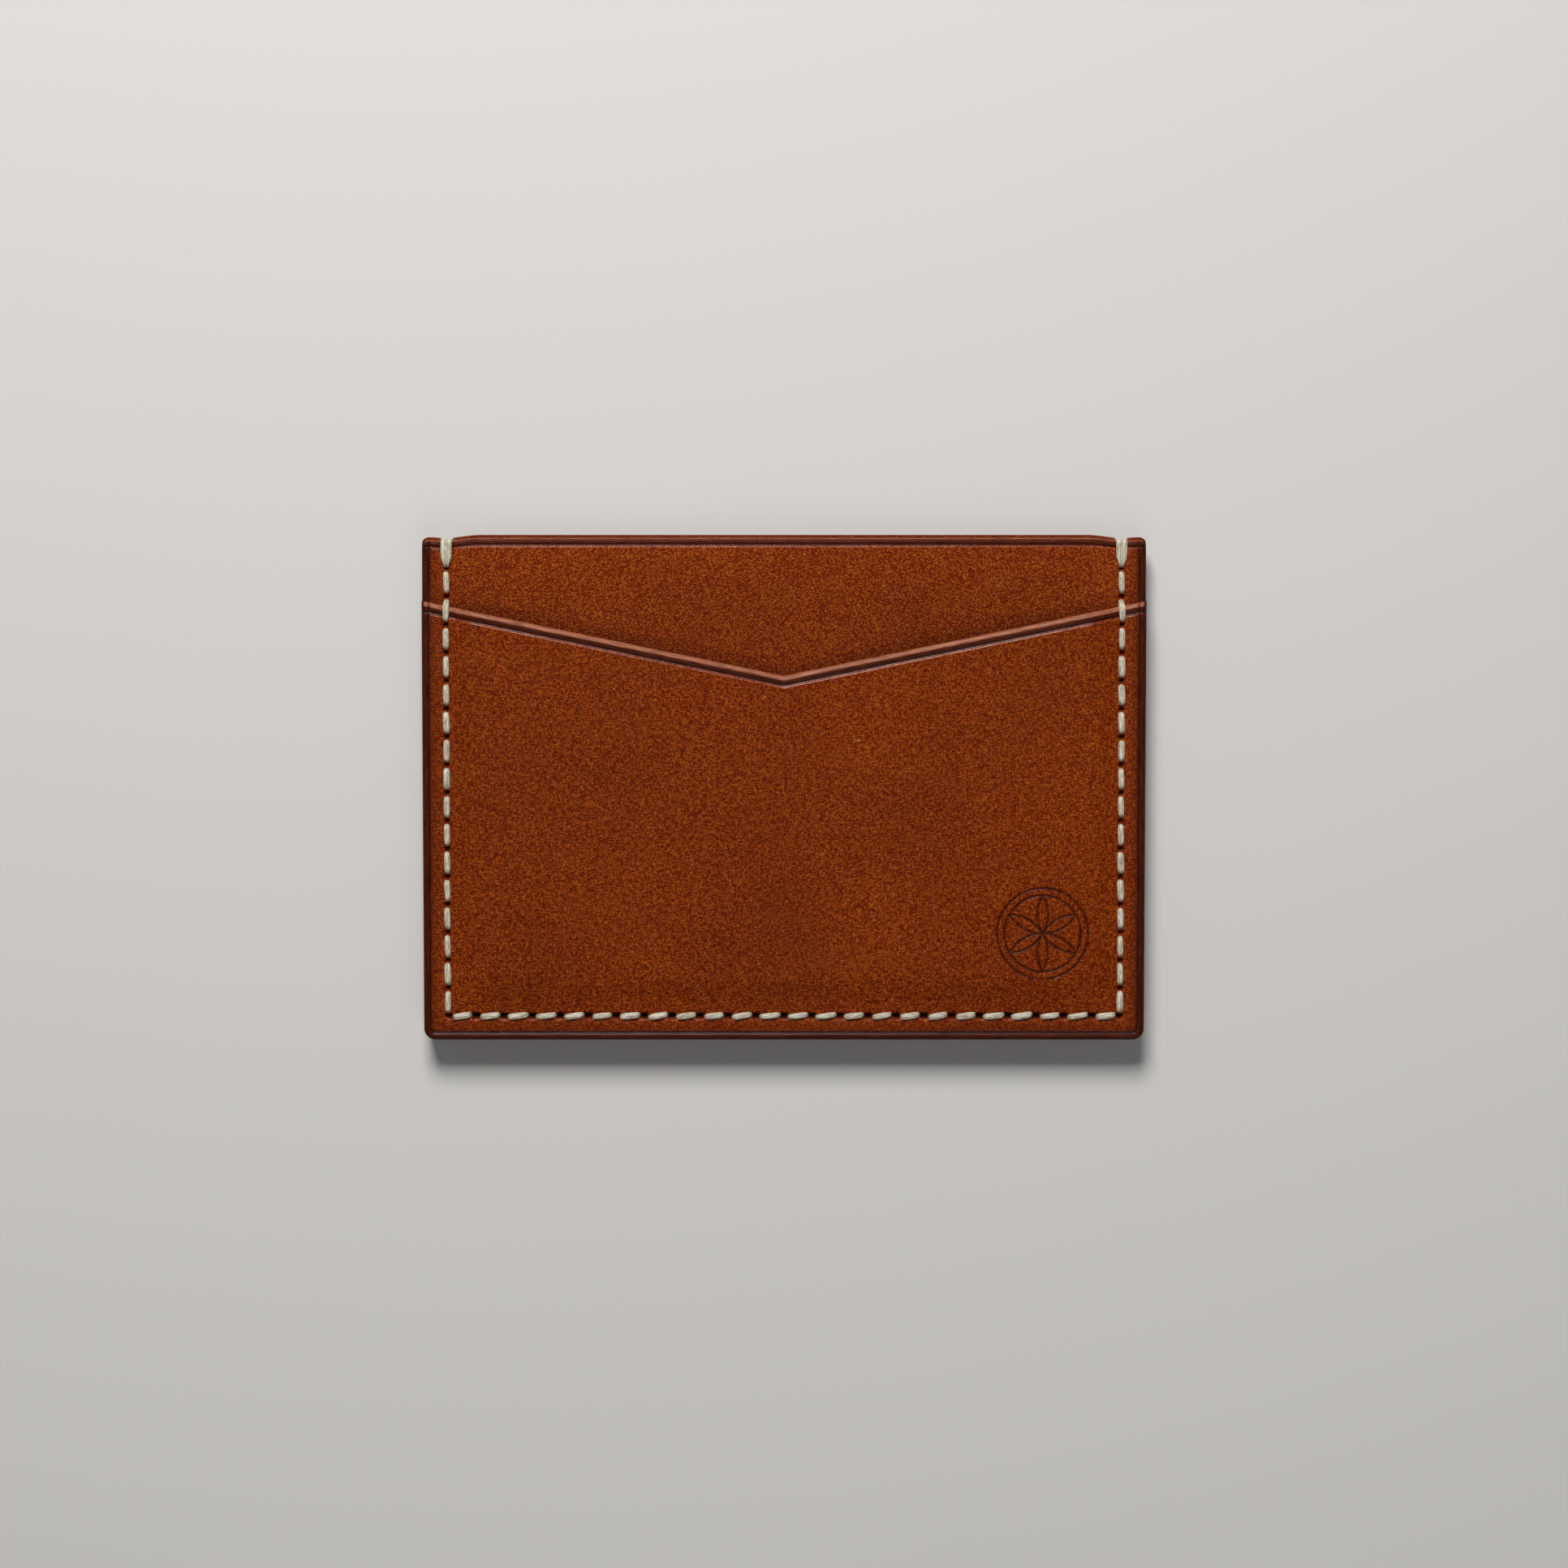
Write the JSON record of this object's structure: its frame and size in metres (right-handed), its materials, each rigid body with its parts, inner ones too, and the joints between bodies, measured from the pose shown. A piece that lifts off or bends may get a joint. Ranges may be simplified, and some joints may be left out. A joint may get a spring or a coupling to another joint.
{
  "type": "card holder",
  "caption": "Slim stitched leather card holder with V-cut outer pockets front and rear and an open slot between two full-height dividers.",
  "frame": {"origin": "under the middle of the holder, at the centre of the bounding box in X and Y, on the plane that the rear pocket rests on", "axes": "+X across the width to the right seen from the front, +Y up to the open mouth, +Z out of the front pocket's face"},
  "size_m": [0.1, 0.07, 0.0069],
  "materials": {
    "front_leather": "pebbled brown leather with burnished dark edges",
    "divider_leather": "pebbled brown leather with burnished dark edges",
    "rear_leather": "pebbled brown leather with burnished dark edges",
    "waxed_thread": "undyed waxed linen, flat and slightly fibrous"
  },
  "bodies": {
    "root": {"front_pocket": "front_leather", "front_divider": "divider_leather", "rear_divider": "divider_leather", "rear_pocket": "rear_leather", "seam_thread": "waxed_thread"}
  },
  "joints": []
}
